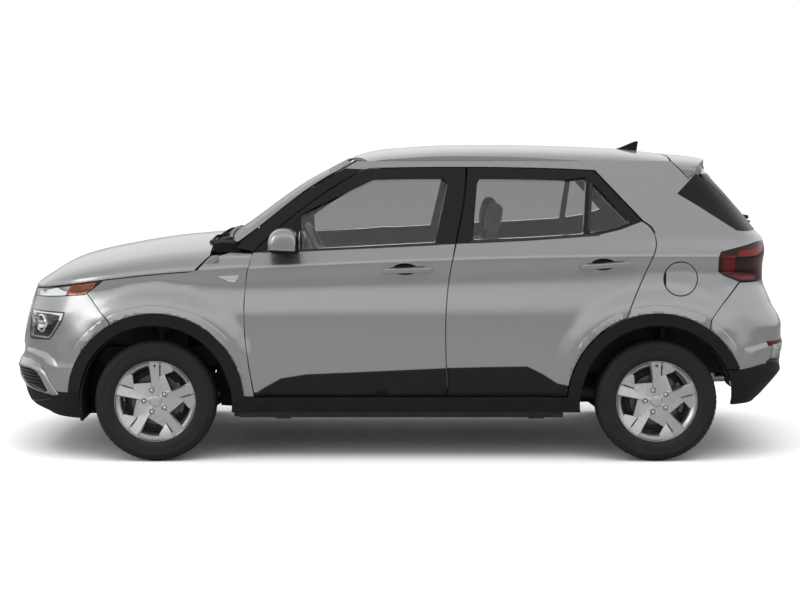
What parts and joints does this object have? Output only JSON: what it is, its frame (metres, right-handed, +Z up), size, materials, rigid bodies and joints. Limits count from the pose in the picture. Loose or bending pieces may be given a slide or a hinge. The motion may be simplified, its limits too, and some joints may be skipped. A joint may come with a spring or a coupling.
{
  "type": "subcompact crossover",
  "caption": "Small five-door crossover car with opening doors, hood, tailgate and fuel flap, steered front wheels and free-turning wheels.",
  "frame": {"origin": "centre of the bounding box, on the ground under the wheels", "axes": "+X to the rear, +Y to the car's right-hand side, +Z up"},
  "size_m": [3.9955, 1.97, 1.5963],
  "materials": {
    "silver_paint": "metallic",
    "black_plastic": "grained",
    "black_steel": "satin",
    "cast_metal": "rough",
    "bare_metal": "dull",
    "silver_alloy": "painted satin",
    "tyre_rubber": "matt",
    "tinted_glass": "clear",
    "clear_lens": "clear",
    "red_lens": "clear",
    "cabin_plastic": "grained",
    "seat_fabric": "woven"
  },
  "bodies": {
    "body_shell": {"body_side_left": "silver_paint", "body_side_right": "silver_paint", "cowl": "black_plastic", "dashboard": "cabin_plastic", "engine_block": "cast_metal", "exhaust": "bare_metal", "floor_pan": "black_steel", "front_bumper": "silver_paint", "front_fenders": "silver_paint", "front_frame": "black_steel", "front_lip": "black_plastic", "front_seats": "seat_fabric", "front_subframe": "black_steel", "fuel_tank": "black_plastic", "grille": "black_plastic", "headlamps": "clear_lens", "radiator": "bare_metal", "rear_axle": "black_steel", "rear_bumper": "silver_paint", "rear_seat": "seat_fabric", "rear_valance": "black_plastic", "roof_antenna": "black_plastic", "roof_panel": "silver_paint", "tail_lamps": "red_lens", "wheel_arch_trim": "black_plastic", "wheel_liners": "black_plastic", "windshield": "tinted_glass"},
    "front_wheel_left": {"wheel_front_left": "silver_alloy", "tyre_front_left": "tyre_rubber"},
    "front_wheel_right": {"wheel_front_right": "silver_alloy", "tyre_front_right": "tyre_rubber"},
    "rear_wheel_left": {"wheel_rear_left": "silver_alloy", "tyre_rear_left": "tyre_rubber"},
    "rear_wheel_right": {"wheel_rear_right": "silver_alloy", "tyre_rear_right": "tyre_rubber"},
    "steering_left": {"knuckle_left": "black_steel"},
    "steering_right": {"knuckle_right": "black_steel"},
    "door_front_left": {"front_door_left": "silver_paint", "front_glass_left": "tinted_glass", "mirror_left": "silver_paint"},
    "door_front_right": {"front_door_right": "silver_paint", "front_glass_right": "tinted_glass", "mirror_right": "silver_paint"},
    "door_rear_left": {"rear_door_left": "silver_paint", "rear_glass_left": "tinted_glass"},
    "door_rear_right": {"rear_door_right": "silver_paint", "rear_glass_right": "tinted_glass"},
    "hood_lid": {"hood": "silver_paint"},
    "tailgate_lid": {"tailgate": "silver_paint", "tailgate_glass": "tinted_glass"},
    "fuel_lid": {"fuel_flap": "silver_paint"},
    "hand_wheel": {"steering_wheel": "cabin_plastic"}
  },
  "joints": [
    {"name": "steer_left", "type": "hinge", "parent": "body_shell", "child": "steering_left", "pos_m": [-1.224, -0.705, 0.192], "axis": [0.0462, 0.1846, 0.9817], "range_deg": [-35, 35]},
    {"name": "steer_right", "type": "hinge", "parent": "body_shell", "child": "steering_right", "pos_m": [-1.224, 0.705, 0.192], "axis": [0.0462, -0.1846, 0.9817], "range_deg": [-35, 35]},
    {"name": "steering_wheel_turn", "type": "hinge", "parent": "body_shell", "child": "hand_wheel", "pos_m": [-0.388, -0.37, 1.006], "axis": [0.8988, 0, 0.4384], "range_deg": [-495, 495]},
    {"name": "spin_front_left", "type": "hinge", "parent": "steering_left", "child": "front_wheel_left", "pos_m": [-1.216, -0.775, 0.306], "axis": [0, 1, 0], "continuous": true},
    {"name": "spin_front_right", "type": "hinge", "parent": "steering_right", "child": "front_wheel_right", "pos_m": [-1.216, 0.775, 0.306], "axis": [0, 1, 0], "continuous": true},
    {"name": "spin_rear_left", "type": "hinge", "parent": "body_shell", "child": "rear_wheel_left", "pos_m": [1.304, -0.775, 0.306], "axis": [0, 1, 0], "continuous": true},
    {"name": "spin_rear_right", "type": "hinge", "parent": "body_shell", "child": "rear_wheel_right", "pos_m": [1.304, 0.775, 0.306], "axis": [0, 1, 0], "continuous": true},
    {"name": "front_door_left_hinge", "type": "hinge", "parent": "body_shell", "child": "door_front_left", "pos_m": [-0.738, -0.867, 0.7], "axis": [0, 0, -1], "range_deg": [0, 65]},
    {"name": "rear_door_left_hinge", "type": "hinge", "parent": "body_shell", "child": "door_rear_left", "pos_m": [0.272, -0.865, 0.7], "axis": [0, 0, -1], "range_deg": [0, 68]},
    {"name": "front_door_right_hinge", "type": "hinge", "parent": "body_shell", "child": "door_front_right", "pos_m": [-0.738, 0.867, 0.7], "axis": [0, 0, 1], "range_deg": [0, 65]},
    {"name": "rear_door_right_hinge", "type": "hinge", "parent": "body_shell", "child": "door_rear_right", "pos_m": [0.272, 0.865, 0.7], "axis": [0, 0, 1], "range_deg": [0, 68]},
    {"name": "hood_hinge", "type": "hinge", "parent": "body_shell", "child": "hood_lid", "pos_m": [-0.938, 0, 1.112], "axis": [0, 1, 0], "range_deg": [0, 50]},
    {"name": "tailgate_hinge", "type": "hinge", "parent": "body_shell", "child": "tailgate_lid", "pos_m": [1.416, 0, 1.524], "axis": [0, -1, 0], "range_deg": [0, 80]},
    {"name": "fuel_flap_hinge", "type": "hinge", "parent": "body_shell", "child": "fuel_lid", "pos_m": [1.346, -0.8545, 0.922], "axis": [0, 0, -1], "range_deg": [0, 90]}
  ],
  "couplings": [
    {"joint": "steer_right", "follows": "steer_left", "ratio": 1},
    {"joint": "steering_wheel_turn", "follows": "steer_left", "ratio": 14}
  ]
}
